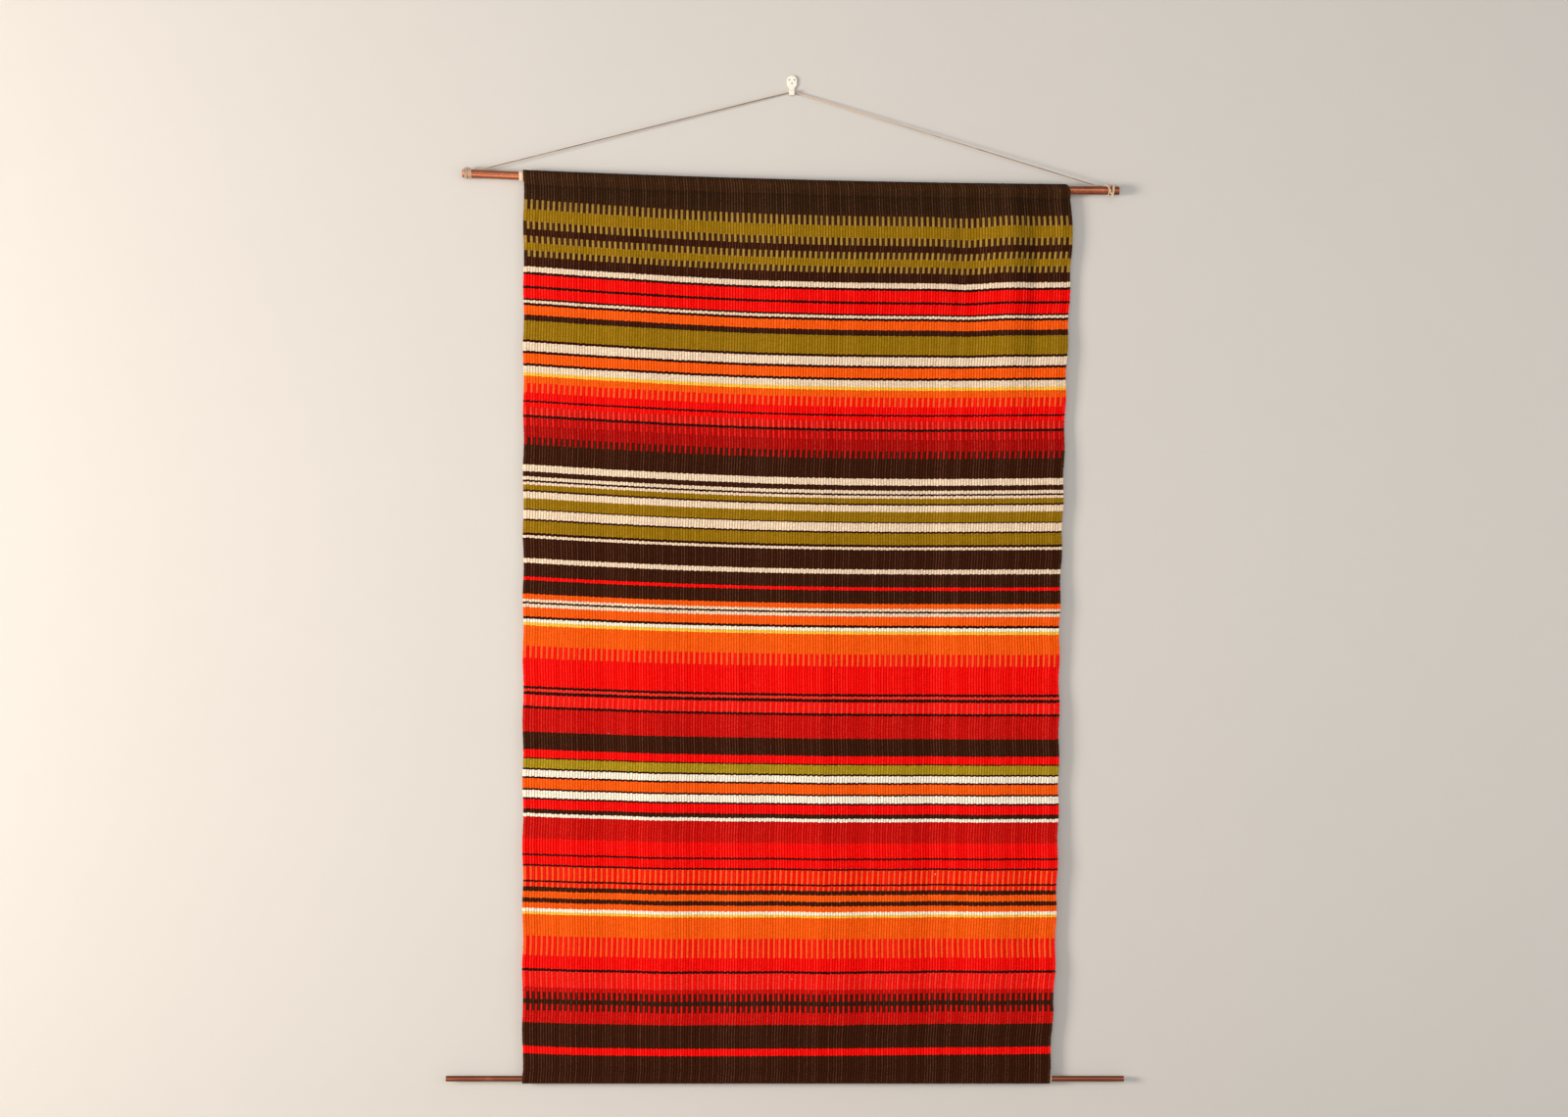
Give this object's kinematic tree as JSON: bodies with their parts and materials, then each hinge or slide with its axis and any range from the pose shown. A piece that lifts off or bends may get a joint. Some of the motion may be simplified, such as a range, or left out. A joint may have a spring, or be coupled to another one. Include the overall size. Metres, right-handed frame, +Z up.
{
  "type": "tapestry wall hanging",
  "caption": "Striped weft-faced woven hanging on two copper tubes, hung by a twine from a small moulded wall hook.",
  "frame": {"origin": "centre of the hook's flat back face, on the wall", "axes": "+X to the right of someone facing the hanging, +Y into the wall, +Z up"},
  "size_m": [1.2355, 0.0334, 1.8395],
  "materials": {
    "white_plastic": "moulded, soft sheen",
    "pin_steel": "plain bright steel",
    "twine": "twisted natural twine",
    "copper": "bare drawn copper with a light tarnish",
    "wool_web": "weft-faced wool rep weave in cross stripes",
    "cotton_tape": "woven cotton tape",
    "seam_thread": "dark sewing thread"
  },
  "bodies": {
    "hook": {"wall_hook": "white_plastic", "hook_pin_1": "pin_steel", "hook_pin_2": "pin_steel", "hook_pin_3": "pin_steel"},
    "twine": {"hanging_cord": "twine", "left_knot": "twine", "right_knot": "twine"},
    "top_tube": {"top_rod": "copper"},
    "upper_cloth": {"top_sleeve": "wool_web", "upper_web": "wool_web", "top_hem_tape": "cotton_tape", "top_seam_thread": "seam_thread"},
    "lower_cloth": {"lower_web": "wool_web", "bottom_sleeve": "wool_web", "bottom_hem_tape": "cotton_tape", "bottom_seam_thread": "seam_thread"},
    "bottom_tube": {"bottom_rod": "copper"}
  },
  "joints": [
    {"name": "hook_swing", "type": "hinge", "parent": "hook", "child": "twine", "pos_m": [0, -0.00465, -0.0122], "axis": [0, 1, 0], "range_deg": [-4, 4]},
    {"name": "rod_roll", "type": "hinge", "parent": "twine", "child": "top_tube", "pos_m": [-0.5863, -0.012, -0.16066], "axis": [-0.9996, 0, 0.0267], "range_deg": [0, 30]},
    {"name": "cloth_slide", "type": "slide", "parent": "top_tube", "child": "upper_cloth", "axis": [0.9996, 0, -0.0267], "range_m": [-0.045, 0.04]},
    {"name": "cloth_fold", "type": "hinge", "parent": "upper_cloth", "child": "lower_cloth", "pos_m": [0, -0.01435, -0.99], "axis": [-1, 0, 0], "range_deg": [0, 35]},
    {"name": "bottom_rod_slide", "type": "slide", "parent": "lower_cloth", "child": "bottom_tube", "axis": [1, 0, 0], "range_m": [-0.1, 0.1]}
  ]
}
